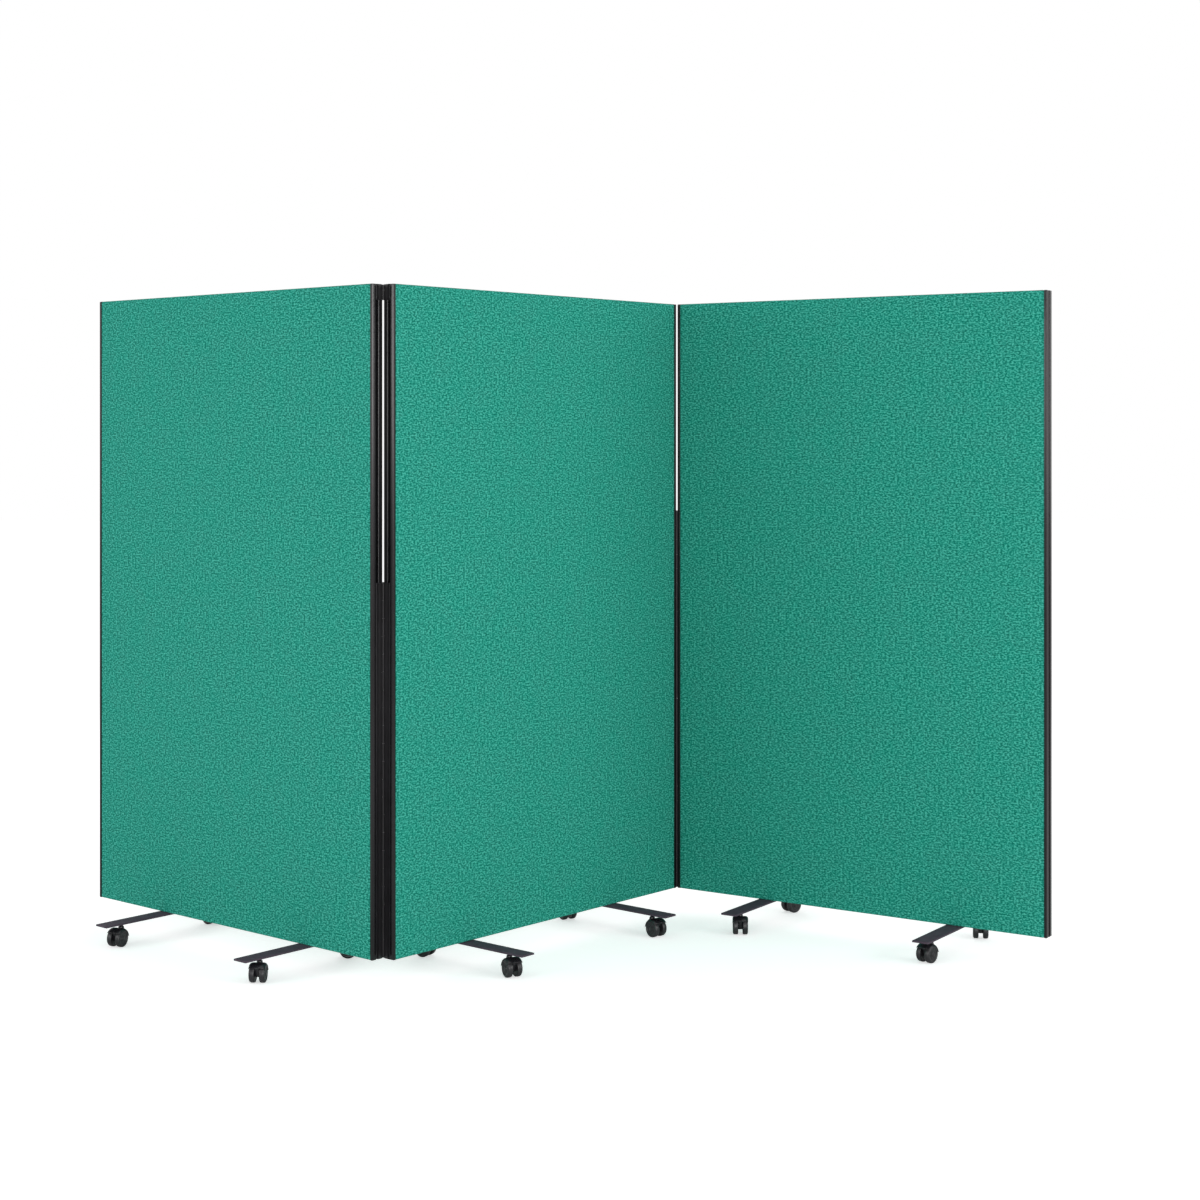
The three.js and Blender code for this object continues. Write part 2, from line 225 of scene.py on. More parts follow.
def arc(centre: tuple, radius: float, start: float, end: float, steps: int) -> np.ndarray:
    """Points on a circle: the centre plus the radius times the cosine and sine of even angles.

    Args:
        centre: the circle's centre on the plane.
        radius: its radius.
        start: the first angle in degrees.
        end: the last angle in degrees.
        steps: the number of chords.

    Returns:
        The points, as (steps + 1) x 2.
    """
    angle = np.radians(np.linspace(start, end, steps + 1))
    return np.stack([centre[0] + radius * np.cos(angle), centre[1] + radius * np.sin(angle)], -1)


def rounded_loop(width: float, height: float, radius: float, steps: int, along: int) -> np.ndarray:
    """A rectangle with rounded corners: four quarter circles, with even points on the straight sides.

    Args:
        width: size along the first axis.
        height: size along the second axis.
        radius: the corners' radius.
        steps: chords in each corner.
        along: parts in each straight side.

    Returns:
        The loop, anticlockwise, as points x 2.
    """
    x, y = width / 2 - radius, height / 2 - radius
    centres = ((x, y), (-x, y), (-x, -y), (x, -y))
    corners = [arc(centre, radius, 90 * k, 90 * (k + 1), steps) for k, centre in enumerate(centres)]
    share = np.linspace(0, 1, along + 1)[1:-1, None]
    loop = []
    for corner, following in zip(corners, corners[1:] + corners[:1]):
        loop.extend([corner, corner[-1] * (1 - share) + following[0] * share])
    return np.concatenate(loop)


def drawn_in(ring: np.ndarray, depth: float) -> np.ndarray:
    """A closed anticlockwise ring moved inwards, each point along the mean of its two sides' normals.

    Args:
        ring: points x 2.
        depth: how far to move, positive inwards.

    Returns:
        The moved ring.
    """
    sides = (ring - np.roll(ring, 1, 0), np.roll(ring, -1, 0) - ring)
    mean = sum(
        np.stack([-side[:, 1], side[:, 0]], -1) / np.linalg.norm(side, axis=1)[:, None]
        for side in sides
    )
    return ring + depth * 2 * mean / np.maximum((mean**2).sum(1)[:, None], 1.0)


def softened(ring: np.ndarray, low: float, high: float, edge: float, steps: int = 3) -> np.ndarray:
    """A ring pulled from one height to another with rounded edges.

    Near each end the ring is drawn in by edge x (1 - sin a) at a height of edge x (1 - cos a).

    Args:
        ring: points x 2, anticlockwise.
        low: the lower height.
        high: the upper height.
        edge: the radius of the edges.
        steps: chords in each edge.

    Returns:
        The grid, rows x columns x 3, with heights along the third axis.
    """
    angle = np.linspace(0, math.pi / 2, steps + 1)
    inset = edge * (1 - np.sin(angle))
    rise = edge * (1 - np.cos(angle))
    rows = list(zip(inset, low + rise)) + list(zip(inset[::-1], high - rise[::-1]))
    return np.stack([np.column_stack([drawn_in(ring, d), np.full(len(ring), z)]) for d, z in rows])


def turned(profile: np.ndarray, steps: int) -> np.ndarray:
    """A profile turned about the third axis: each of its points goes round a circle of its own radius.

    Args:
        profile: (radius, height) pairs, upwards on the outside and downwards in a bore.
        steps: points round the circle.

    Returns:
        The grid, rows x columns x 3.
    """
    radius, height = profile.T[..., None]
    angle = np.arange(steps) * 2 * math.pi / steps
    return np.stack(
        [radius * np.cos(angle), radius * np.sin(angle), np.repeat(height, steps, 1)], -1
    )


def shifted(table: tuple, radius: float, height: float) -> np.ndarray:
    """A table of (radius, height) pairs moved to the radius and height that it starts from."""
    return np.array(table, FLOAT) + (radius, height)


def linked(name: str, data: bpy.types.ID) -> bpy.types.Object:
    """An object of that name and data, put in the scene.

    Args:
        name: the object's name.
        data: its mesh, lamp or camera.

    Returns:
        The object.
    """
    obj = bpy.data.objects.new(name, data)
    bpy.context.scene.collection.objects.link(obj)
    return obj


def build(
    name: str, skin: Skin, finish: "Finish", body: str, crease: float = 40.0
) -> bpy.types.Object:
    """Makes the object of a placed skin and lets it ride on its body.

    Args:
        name: the object's name.
        skin: points in metres, faces and UVs.
        finish: what the piece is made of.
        body: the frame's body that carries it.
        crease: faces that meet at a sharper angle, in degrees, keep a sharp edge.

    Returns:
        The object.
    """
    mesh = bpy.data.meshes.new(name)
    mesh.from_pydata(skin.points.tolist(), [], skin.faces)
    layer = mesh.uv_layers.new(name="UVMap")
    layer.data.foreach_set("uv", np.array(skin.uv, np.float32).ravel())
    mesh.polygons.foreach_set("use_smooth", np.ones(len(mesh.polygons), bool))
    mesh.set_sharp_from_angle(angle=math.radians(crease))
    mesh.materials.append(finish.material())
    mesh.update()
    obj = linked(name, mesh)
    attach(obj, body)
    log.info("%s: %d faces on %s", name, len(mesh.polygons), body)
    return obj


# Finishes

# A wave texture's bands lie this length, in metres, over its scale apart
WAVE_PERIOD = 0.314


def linear(code: str) -> tuple:
    """Turns a colour to linear: a share s up to 0.04045 is s / 12.92, else ((s + 0.055) / 1.055)^2.4.

    Args:
        code: the colour in sRGB, written as #RRGGBB.

    Returns:
        Linear red, green and blue, and an alpha of 1.
    """
    share = np.array([int(code[i : i + 2], 16) for i in (1, 3, 5)]) / 255
    value = np.where(share <= 0.04045, share / 12.92, ((share + 0.055) / 1.055) ** 2.4)
    return (*value.tolist(), 1.0)


def add_node(
    tree: bpy.types.NodeTree, kind: str, settings: dict, values: dict, links: dict, stops: tuple = ()
) -> bpy.types.Node:
    """Adds a node with its settings, socket values and links.

    Args:
        tree: the material's or world's node tree.
        kind: the node's type.
        settings: its properties.
        values: socket to value.
        links: socket to (node, output socket).
        stops: two or more (position, colour code) pairs of a colour ramp, in rising order.

    Returns:
        The node.
    """
    node = tree.nodes.new(kind)
    for key, value in settings.items():
        setattr(node, key, value)
    for key, value in values.items():
        node.inputs[key].default_value = value
    for key, (source, output) in links.items():
        tree.links.new(source.outputs[output], node.inputs[key])
    if stops:
        elements = node.color_ramp.elements
        while len(elements) < len(stops):
            elements.new(0.5)
        for element, (position, code) in zip(elements, stops):
            element.position = position
            element.color = linear(code)
    return node


@dataclass(frozen=True)
class Finish:
    """What a piece is made of. A finish of the same name makes its material once."""

    name: str

    def material(self) -> bpy.types.Material:
        """Finds the finish's material, or makes it on first use.

        Returns:
            The material.
        """
        found = bpy.data.materials.get(self.name)
        if found is not None:
            return found
        made = bpy.data.materials.new(self.name)
        made.use_nodes = True
        tree = made.node_tree
        tree.nodes.clear()
        shader = self.surface(tree)
        add_node(tree, "ShaderNodeOutputMaterial", {}, {}, {"Surface": (shader, 0)})
        return made

    def surface(self, tree: bpy.types.NodeTree) -> bpy.types.Node:
        """The finish's shader node, with all that feeds it."""
        raise NotImplementedError


@dataclass(frozen=True)
class HeatherWool(Finish):
    """Woven heather wool cloth: dyed fibres of several greens mixed before spinning.

    The eye sees a soft matt teal with small flecks of lighter and darker yarn, slow drifts between a
    greyer and a fuller green, and a pale bloom where the nap is seen edge on.
    """

    dark: str = "#04604F"
    body: str = "#1E8E7C"
    pale: str = "#54BFAC"
    greyer: str = "#2F8A7C"
    fuller: str = "#14907C"
    bloom: str = "#CFE8E2"
    # In metres: a fleck, a drift of colour, the threads' spacing and the weave's height
    fleck: float = 0.0042
    drift: float = 0.070
    thread: float = 0.0022
    relief: float = 0.0003
    slub: float = 0.62  # a fleck's breadth over its length
    drift_share: float = 0.20
    nap: float = 0.4

    def surface(self, tree: bpy.types.NodeTree) -> bpy.types.Node:
        """The cloth's shader: flecks and drifts in the colour, threads and nap in the bump.

        The flecks are a noise drawn out along the cloth. The threads are two crossing sets of bands,
        multiplied. Threads of 0.7 mm are drawn 2.2 mm apart, so that they show.

        Args:
            tree: the material's node tree.

        Returns:
            The shader node.
        """
        uv = add_node(tree, "ShaderNodeUVMap", {"uv_map": "UVMap"}, {}, {})
        drawn = add_node(
            tree, "ShaderNodeMapping", {}, {"Scale": (self.slub, 1.0, 1.0)}, {"Vector": (uv, "UV")}
        )
        fleck = add_node(
            tree, "ShaderNodeTexNoise", {},
            {"Scale": 1 / self.fleck, "Detail": 3.0, "Roughness": 0.65}, {"Vector": (drawn, 0)},
        )
        drift = add_node(
            tree, "ShaderNodeTexNoise", {},
            {"Scale": 1 / self.drift, "Detail": 2.0, "Roughness": 0.5}, {"Vector": (uv, "UV")},
        )
        yarn = add_node(
            tree, "ShaderNodeValToRGB", {}, {}, {"Fac": (fleck, "Fac")},
            ((0.41, self.dark), (0.50, self.body), (0.60, self.pale)),
        )
        cast = add_node(
            tree, "ShaderNodeValToRGB", {}, {}, {"Fac": (drift, "Fac")},
            ((0.36, self.greyer), (0.64, self.fuller)),
        )
        mixed = add_node(
            tree, "ShaderNodeMix", {"data_type": "RGBA", "blend_type": "MIX"}, {0: self.drift_share},
            {6: (yarn, "Color"), 7: (cast, "Color")},
        )
        warp, weft = (
            add_node(
                tree, "ShaderNodeTexWave", {"wave_type": "BANDS", "bands_direction": direction},
                {"Scale": WAVE_PERIOD / self.thread, "Distortion": 1.2, "Detail": 1.0},
                {"Vector": (uv, "UV")},
            )
            for direction in ("X", "Y")
        )
        weave = add_node(
            tree, "ShaderNodeMath", {"operation": "MULTIPLY"}, {}, {0: (warp, "Fac"), 1: (weft, "Fac")}
        )
        raised = add_node(
            tree, "ShaderNodeMath", {"operation": "MULTIPLY_ADD"}, {1: self.nap},
            {0: (fleck, "Fac"), 2: (weave, 0)},
        )
        bump = add_node(
            tree, "ShaderNodeBump", {}, {"Strength": 0.55, "Distance": self.relief},
            {"Height": (raised, 0)},
        )
        return add_node(
            tree, "ShaderNodeBsdfPrincipled", {},
            {
                "Roughness": 0.95, "Specular IOR Level": 0.12, "Sheen Weight": 0.10,
                "Sheen Roughness": 0.35, "Sheen Tint": linear(self.bloom),
            },
            {"Base Color": (mixed, 2), "Normal": (bump, 0)},
        )


@dataclass(frozen=True)
class Coated(Finish):
    """A smooth coated, anodised, moulded or plated surface: slow drifts of colour and a fine grain."""

    colour: str
    drifted: str
    roughness: float
    spread: float = 0.06
    metallic: float = 0.0
    specular: float = 0.5
    # In metres: the grain, drawn coarser than the real one so that it shows, and its height
    grain: float = 0.0015
    relief: float = 0.00006
    stretch: tuple = (1.0, 1.0, 1.0)
    drifts: float = 28.0  # per metre

    def surface(self, tree: bpy.types.NodeTree) -> bpy.types.Node:
        """The coating's shader: grain in the bump and the roughness, and a drift in the colour.

        Args:
            tree: the material's node tree.

        Returns:
            The shader node.
        """
        place = add_node(tree, "ShaderNodeTexCoord", {}, {}, {})
        drawn = add_node(
            tree, "ShaderNodeMapping", {}, {"Scale": self.stretch}, {"Vector": (place, "Object")}
        )
        grain = add_node(
            tree, "ShaderNodeTexNoise", {},
            {"Scale": 1 / self.grain, "Detail": 2.0, "Roughness": 0.6}, {"Vector": (drawn, 0)},
        )
        drift = add_node(
            tree, "ShaderNodeTexNoise", {},
            {"Scale": self.drifts, "Detail": 3.0, "Roughness": 0.6}, {"Vector": (place, "Object")},
        )
        tone = add_node(
            tree, "ShaderNodeValToRGB", {}, {}, {"Fac": (drift, "Fac")},
            ((0.35, self.colour), (0.70, self.drifted)),
        )
        rough = add_node(
            tree, "ShaderNodeMapRange", {},
            {
                "From Min": 0.3, "From Max": 0.7,
                "To Min": self.roughness - self.spread, "To Max": self.roughness + self.spread,
            },
            {"Value": (grain, "Fac")},
        )
        bump = add_node(
            tree, "ShaderNodeBump", {}, {"Strength": 0.5, "Distance": self.relief},
            {"Height": (grain, "Fac")},
        )
        return add_node(
            tree, "ShaderNodeBsdfPrincipled", {},
            {"Metallic": self.metallic, "Specular IOR Level": self.specular},
            {"Base Color": (tone, "Color"), "Roughness": (rough, 0), "Normal": (bump, 0)},
        )


@dataclass(frozen=True)
class Softwood(Finish):
    """Planed pine: pale straw wood whose darker growth lines run along the grain."""

    early: str = "#D8B783"
    late: str = "#B98B52"
    ring: float = 0.006  # from one growth line to the next, in metres
    draw: float = 0.06  # how much slower the lines change along the grain

    def surface(self, tree: bpy.types.NodeTree) -> bpy.types.Node:
        """The wood's shader: bands bent by noise, with the grain along the vertical.

        Args:
            tree: the material's node tree.

        Returns:
            The shader node.
        """
        place = add_node(tree, "ShaderNodeTexCoord", {}, {}, {})
        drawn = add_node(
            tree, "ShaderNodeMapping", {}, {"Scale": (1.0, 1.0, self.draw)},
            {"Vector": (place, "Object")},
        )
        rings = add_node(
            tree, "ShaderNodeTexWave", {"wave_type": "BANDS", "bands_direction": "DIAGONAL"},
            {"Scale": WAVE_PERIOD / self.ring, "Distortion": 5.0, "Detail": 2.0},
            {"Vector": (drawn, 0)},
        )
        tone = add_node(
            tree, "ShaderNodeValToRGB", {}, {}, {"Fac": (rings, "Fac")},
            ((0.1, self.early), (0.9, self.late)),
        )
        bump = add_node(
            tree, "ShaderNodeBump", {}, {"Strength": 0.3, "Distance": 0.0003},
            {"Height": (rings, "Fac")},
        )
        return add_node(
            tree, "ShaderNodeBsdfPrincipled", {}, {"Roughness": 0.62},
            {"Base Color": (tone, "Color"), "Normal": (bump, 0)},
        )


@dataclass(frozen=True)
class HoneycombBoard(Finish):
    """Kraft paper honeycomb: brown paper cells that show as a mesh of paler edges."""

    paper: str = "#A98255"
    edge: str = "#C8A67A"
    cell: float = 0.012  # across a cell, in metres

    def surface(self, tree: bpy.types.NodeTree) -> bpy.types.Node:
        """The board's shader: distance to the cells' borders in the colour and the bump.

        Args:
            tree: the material's node tree.

        Returns:
            The shader node.
        """
        place = add_node(tree, "ShaderNodeTexCoord", {}, {}, {})
        cells = add_node(
            tree, "ShaderNodeTexVoronoi", {"feature": "DISTANCE_TO_EDGE"},
            {"Scale": 1 / self.cell, "Randomness": 0.25}, {"Vector": (place, "Object")},
        )
        tone = add_node(
            tree, "ShaderNodeValToRGB", {}, {}, {"Fac": (cells, "Distance")},
            ((0.02, self.edge), (0.10, self.paper)),
        )
        bump = add_node(
            tree, "ShaderNodeBump", {"invert": True}, {"Strength": 0.6, "Distance": 0.001},
            {"Height": (cells, "Distance")},
        )
        return add_node(
            tree, "ShaderNodeBsdfPrincipled", {}, {"Roughness": 0.9},
            {"Base Color": (tone, "Color"), "Normal": (bump, 0)},
        )


@dataclass(frozen=True)
class FloorPaint(Finish):
    """Matt white floor paint: an even pale ground that the camera sees as white, with soft shadows."""

    colour: str = "#F0F0F0"
    lift: float = 0.53

    def surface(self, tree: bpy.types.NodeTree) -> bpy.types.Node:
        """The floor's shader: matt paint, plus a glow that only the camera sees.

        Args:
            tree: the material's node tree.

        Returns:
            The shader node.
        """
        path = add_node(tree, "ShaderNodeLightPath", {}, {}, {})
        matt = add_node(tree, "ShaderNodeBsdfDiffuse", {}, {"Color": linear(self.colour)}, {})
        lift = add_node(
            tree, "ShaderNodeMath", {"operation": "MULTIPLY"}, {1: self.lift},
            {0: (path, "Is Camera Ray")},
        )
        glow = add_node(tree, "ShaderNodeEmission", {}, {}, {"Strength": (lift, 0)})
        return add_node(tree, "ShaderNodeAddShader", {}, {}, {0: (matt, 0), 1: (glow, 0)})


CLOTH = HeatherWool("heather wool cloth")
# Black anodised aluminium, extruded: a satin black with a faint upright draw of the die
ANODISED = Coated(
    "black anodised aluminium", "#0B0B0D", "#111114", roughness=0.20, spread=0.03, specular=0.42,
    grain=0.0012, stretch=(1.0, 1.0, 0.02), relief=0.00002,
)
# Black powder-coated steel: a satin black-grey with the fine orange peel of baked powder
POWDER = Coated(
    "black powder-coated steel", "#463B47", "#504551", roughness=0.62, specular=0.2, grain=0.0022,
    relief=0.00010,
)
# Black moulded nylon: semi-matt, with an eroded mould's fine grain
NYLON = Coated(
    "black moulded nylon", "#161619", "#202024", roughness=0.30, grain=0.0010, relief=0.00005
)
# Black nylon wheel: a little duller and greyer from the floor
WHEEL_NYLON = Coated(
    "black nylon wheel", "#1D1C1F", "#2B2A2D", roughness=0.40, spread=0.08, grain=0.0014
)
# Black painted steel: smooth and low gloss
PAINTED = Coated(
    "black painted steel", "#141315", "#1B1A1D", roughness=0.38, grain=0.0016, relief=0.00004
)
# Bright zinc-plated steel: pale grey metal with a soft spangle
ZINC = Coated(
    "zinc-plated steel", "#9B9EA2", "#B4B6B9", roughness=0.32, spread=0.08, metallic=1.0,
    grain=0.0020, relief=0.00002,
)
PINE = Softwood("planed pine")
HONEYCOMB = HoneycombBoard("paper honeycomb board")
WHITE_FLOOR = FloorPaint("white painted floor")


# Pieces


@dataclass
class PanelCover:
    """The cloth round one panel: a taut wrap over both faces, the top and the bottom."""

    thickness: float = 38.0
    height: float = 1800.0
    length: float = 1183.4
    corner: float = 5.5
    roll: float = 5.0
    corner_steps: int = 6
    roll_steps: int = 8
    face_parts: int = 24

    def skin(self, bottom: float) -> Skin:
        """The wrap: a rounded rectangle carried along the panel.

        At each end the cloth rolls in: a roll's radius x (1 - sin a) before the end, the section is
        drawn in by roll x (1 - cos a), so the corner radius shrinks by the same amount.

        Args:
            bottom: the height of the panel's lower edge.

        Returns:
            The skin in the panel's frame, with UVs in metres along and round the cloth.
        """
        angle = np.linspace(0, math.pi / 2, self.roll_steps + 1)[1:]
        straight = self.length / 2 - self.roll
        middle = np.linspace(-straight, straight, self.face_parts + 1)
        reach = straight + self.roll * np.sin(angle)
        depth = self.roll * (1 - np.cos(angle))
        x = np.concatenate([-reach[::-1], middle, reach])
        inset = np.concatenate([depth[::-1], np.zeros_like(middle), depth])
        loop = rounded_loop(
            self.thickness, self.height, self.corner, self.corner_steps, self.face_parts
        )
        limit = np.array([self.thickness, self.height]) / 2 - self.corner
        core = np.clip(loop, -limit, limit)
        grid = np.empty((len(x), len(loop), 3))
        grid[..., 0] = x[:, None]
        grid[..., 1:] = core + (loop - core) * (1 - inset / self.corner)[:, None, None]
        grid[..., 2] += bottom + self.height / 2
        around = run_length(np.vstack([loop, loop[:1]]))
        along = run_length(np.stack([x, inset], -1))
        uv = np.stack(np.meshgrid(around, along), -1)[..., ::-1] * MM
        return sheet_of(grid, caps=False, uv=uv)

    def dress(self, panel: str, place: Place, bottom: float) -> None:
        """Args:
            panel: the panel's name.
            place: the panel's frame.
            bottom: the height of the panel's lower edge.
        """
        skin = self.skin(bottom).placed(place)
        obj = build(f"{panel}_cloth_wrap", skin, CLOTH, panel, crease=80.0)
        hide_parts(f"{panel}_cover")


@dataclass
class EdgeTrim:
    """A grooved edge trim over the panel's full height."""

    panel_width: float = 1200.0
    half: float = 19.0
    face: float = 8.0
    spigot: float = 1.5
    spigot_half: float = 13.4
    shoulder: float = 1.0
    slope: float = 11.0  # of the shoulder where the corner's arc ends, in degrees
    slope_steps: int = 6
    crest: float = 7.0
    crown: float = 0.6
    lip: float = 0.8
    groove: float = 8.0
    groove_depth: float = 4.5
    groove_lip: float = 1.5
    undercut: float = 2.0
    undercut_depth: float = 2.2
    corner: float = 3.0
    corner_steps: int = 6
    parts: int = 13

    def section(self) -> np.ndarray:
        """The trim's section: X = 0 is the panel's end plane and the panel lies at -X.

        Beside the cloth is a narrow lip. From the end of the corner's arc, at x0, the shoulder rises
        to the crest on the end plane as x0 x ((|y| - crest) / reach)^2, where the reach goes from the
        crest to the arc. A quarter ellipse falls from the crest to the groove.

        Returns:
            The section, anticlockwise, as points x 2.
        """
        mouth = self.groove / 2
        floor = self.groove_depth + self.undercut_depth
        centre = (-self.shoulder - self.crown, self.shoulder - self.half)
        corner = arc(centre, self.shoulder, -90, -self.slope, steps=8)
        share = np.linspace(1, 0, self.slope_steps + 1)[1:]
        reach = corner[-1, 1] + self.crest
        rising = np.stack([corner[-1, 0] * share**2, -self.crest + reach * share], -1)
        ellipse = arc((0, 0), 1.0, 0, 90, steps=8)[1:] * [self.groove_lip, self.crest - mouth]
        lower = np.concatenate([
            [(-self.face - self.spigot, -self.spigot_half), (-self.face, -self.spigot_half)],
            arc((-self.face + self.lip, -self.half + self.lip), self.lip, 180, 270, steps=4),
            corner,
            rising,
            ellipse - [self.groove_lip, self.crest],
            [(-self.groove_depth, -mouth), (-self.groove_depth, -mouth - self.undercut)],
            [(-floor, -mouth - self.undercut)],
        ])
        return np.concatenate([lower, lower[::-1] * [1, -1]])

    def skin(self, bottom: float, top: float) -> Skin:
        """The section carried upwards, with the outer corners rounded at both ends.

        At a height h below the end, with h less than the corner's radius r, the section is cut back
        by r - sqrt(r^2 - (r - h)^2) from the end plane and from both faces.

        Args:
            bottom: the trim's lower end.
            top: its upper end.

        Returns:
            The skin in the trim's frame.
        """
        section = self.section()
        angle = np.linspace(0, math.pi / 2, self.corner_steps + 1)
        rise = self.corner * (1 - np.cos(angle))
        cut = self.corner * (1 - np.sin(angle))
        between = np.linspace(bottom, top, self.parts + 1)[1:-1]
        levels = np.concatenate([bottom + rise, between, top - rise[::-1]])
        cuts = np.concatenate([cut, np.zeros_like(between), cut[::-1]])[:, None]
        grid = np.empty((len(levels), len(section), 3))
        grid[..., 0] = np.minimum(section[:, 0], -cuts)
        grid[..., 1] = np.clip(section[:, 1], cuts - self.half, self.half - cuts)
        grid[..., 2] = levels[:, None]
        return sheet_of(grid)

    def dress(self, panel: str, side: Side, place: Place, bottom: float, top: float) -> None:
        """Builds one trim of a panel.

        Args:
            panel: the panel's name.
            side: the end of the panel that it covers.
            place: the panel's frame.
            bottom: the trim's lower end.
            top: its upper end.
        """
        turn = place.turn if side is Side.RIGHT else place.turn @ HALF_TURN_Z
        origin = place.carry(np.array([side.value * self.panel_width / 2, 0.0, 0.0]))
        skin = self.skin(bottom, top).placed(Place(origin, turn))
        name = f"{panel}_grooved_trim_{side.word}"
        obj = build(name, skin, ANODISED, panel, crease=32.0)
        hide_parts(f"{panel}_trim_{side.word}")


@dataclass
class ScrewHead:
    """A low domed screw head with a hexagonal socket. Its underside is the plane Z = 0."""

    radius: float = 4.6
    height: float = 2.0
    socket: float = 1.6
    rim: float = 0.25
    flare: float = 1.25  # the socket's mouth over the socket
    bevel: float = 0.1
    depth: float = 1.2
    steps: int = 36

    def skin(self) -> Skin:
        """A dome turned about Z, with a hexagonal socket in its middle.

        The dome's rings are circles. The socket's follow the hexagon, whose radius at an angle is its
        half width over the cosine of the angle to the nearest flat's middle.

        Returns:
            The skin in the screw's frame.
        """
        angle = np.arange(self.steps) * 2 * math.pi / self.steps
        hexagon = 1 / np.cos((angle % (math.pi / 3)) - math.pi / 6)
        bulge = np.radians([0.0, 25.0, 45.0, 60.0])
        dome = np.concatenate([[self.radius], self.radius * np.cos(bulge)])
        socket = self.socket * np.array([self.flare, 1.0, 1.0])
        ring = np.concatenate([dome[:, None] * np.ones(self.steps), socket[:, None] * hexagon])
        height = np.concatenate([
            [0.0], self.rim + (self.height - self.rim) * np.sin(bulge),
            self.height - np.array([0.0, self.bevel, self.depth]),
        ])
        level = np.broadcast_to(height[:, None], ring.shape)
        return sheet_of(np.stack([ring * np.cos(angle), ring * np.sin(angle), level], -1))


@dataclass
class CrossFoot:
    """A flat steel bar across the panel's underside, screwed on in its middle.

    A castor stem is pressed into it near each end.
    """

    length: float = 484.0
    width: float = 50.0
    thickness: float = 5.0
    corner: float = 2.5
    edge: float = 0.9
    screw_spacing: float = 26.0
    collar_radius: float = 5.5
    collar_height: float = 8.5
    shank_radius: float = 3.5
    shank_length: float = 9.0

    # The stem's outline as (radius, height) steps: from the shank's lower end, from the collar's
    # underside on the shank and on the collar, and from the bar's underside on the collar
    TIP: ClassVar[tuple] = ((-1.2, 0.0), (-0.2, 1.2), (0.0, 1.6))
    CLIP: ClassVar[tuple] = ((0.0, -6.0), (-0.5, -5.6), (-0.5, -4.4), (0.0, -4.0), (0.0, 0.0))
    COLLAR: ClassVar[tuple] = ((-0.7, 0.0), (-0.2, 0.2), (0.0, 0.7))
    SEAT: ClassVar[tuple] = ((0.0, -1.9), (0.25, -1.7), (0.35, -1.0), (0.35, 0.5))

    def bar(self, underside: float) -> Skin:
        """The bar: a rounded rectangle pulled up through the plate's thickness."""
        ring = rounded_loop(self.width, self.length, self.corner, steps=5, along=8)
        return sheet_of(softened(ring, underside, underside + self.thickness, self.edge))

    def stem(self, underside: float) -> Skin:
        """A castor stem: a tapered tip, the shank and its clip's groove, and a rounded collar.

        Args:
            underside: the height of the bar's underside.

        Returns:
            The skin about the stem's own axis.
        """
        low = underside - self.collar_height
        profile = np.concatenate([
            shifted(self.TIP, self.shank_radius, low - self.shank_length),
            shifted(self.CLIP, self.shank_radius, low),
            shifted(self.COLLAR, self.collar_radius, low),
            shifted(self.SEAT, self.collar_radius, underside),
        ])
        return sheet_of(turned(profile, steps=32))

    def dress(self, panel: str, side: Side, turn: np.ndarray, underside: float) -> None:
        """Builds one foot with its stems and screws.

        Args:
            panel: the panel's name.
            side: the foot's side.
            turn: the panel's turn.
            underside: the height of the bar's underside.
        """
        name = f"{panel}_cross_foot_{side.word}"
        stems = [joint_point(f"swivel_{panel}_{side.word}_{end.word}") for end in End]
        centre = (stems[0] + stems[1]) / 2
        centre[2] = 0.0
        place = Place(centre, turn)
        obj = build(name, self.bar(underside).placed(place), POWDER, panel)
        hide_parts(f"{panel}_foot_{side.word}")
        skins = [self.stem(underside).placed(Place(np.array([x, y, 0.0]), turn)) for x, y, _ in stems]
        build(f"{name}_castor_stems", joined(skins), PAINTED, panel)
        heads = []
        for direction in (-1, 1):
            at = place.carry(np.array([direction * self.screw_spacing / 2, 0.0, underside]))
            heads.append(ScrewHead().skin().placed(Place(at, turn @ HALF_TURN_X)))
        build(f"{name}_screws", joined(heads), ZINC, panel)


